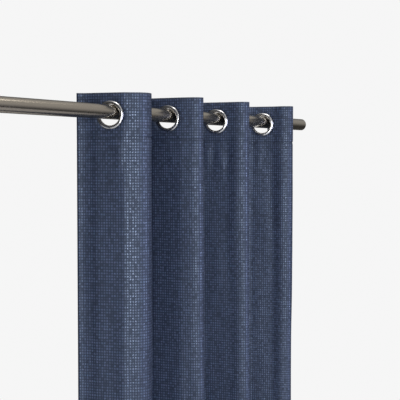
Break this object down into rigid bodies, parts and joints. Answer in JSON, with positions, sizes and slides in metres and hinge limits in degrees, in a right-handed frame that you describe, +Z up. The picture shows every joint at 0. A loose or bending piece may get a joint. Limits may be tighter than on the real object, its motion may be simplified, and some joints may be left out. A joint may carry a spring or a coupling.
{
  "type": "pair of eyelet curtains on a curtain pole",
  "caption": "Pair of long navy woven curtains with metal ring eyelets, hanging in deep even folds from a plain round metal pole.",
  "frame": {"origin": "middle of the pole's axis", "axes": "+X along the pole to the right as seen from the room, +Y towards the wall, +Z up"},
  "size_m": [1.92, 0.1312, 1.37],
  "materials": {
    "curtain_cloth": "lustrous navy cloth with a small raised square weave",
    "ring_metal": "polished nickel",
    "pole_metal": "glossy dark bronze"
  },
  "bodies": {
    "root": {"curtain_pole": "pole_metal", "left_curtain_heading": "curtain_cloth", "left_curtain_panel": "curtain_cloth", "right_curtain_heading": "curtain_cloth", "right_curtain_panel": "curtain_cloth", "left_eyelet_ring_1": "ring_metal", "left_eyelet_ring_2": "ring_metal", "left_eyelet_ring_3": "ring_metal", "left_eyelet_ring_4": "ring_metal", "left_eyelet_ring_5": "ring_metal", "left_eyelet_ring_6": "ring_metal", "left_eyelet_ring_7": "ring_metal", "left_eyelet_ring_8": "ring_metal", "right_eyelet_ring_1": "ring_metal", "right_eyelet_ring_2": "ring_metal", "right_eyelet_ring_3": "ring_metal", "right_eyelet_ring_4": "ring_metal", "right_eyelet_ring_5": "ring_metal", "right_eyelet_ring_6": "ring_metal", "right_eyelet_ring_7": "ring_metal", "right_eyelet_ring_8": "ring_metal"}
  },
  "joints": []
}
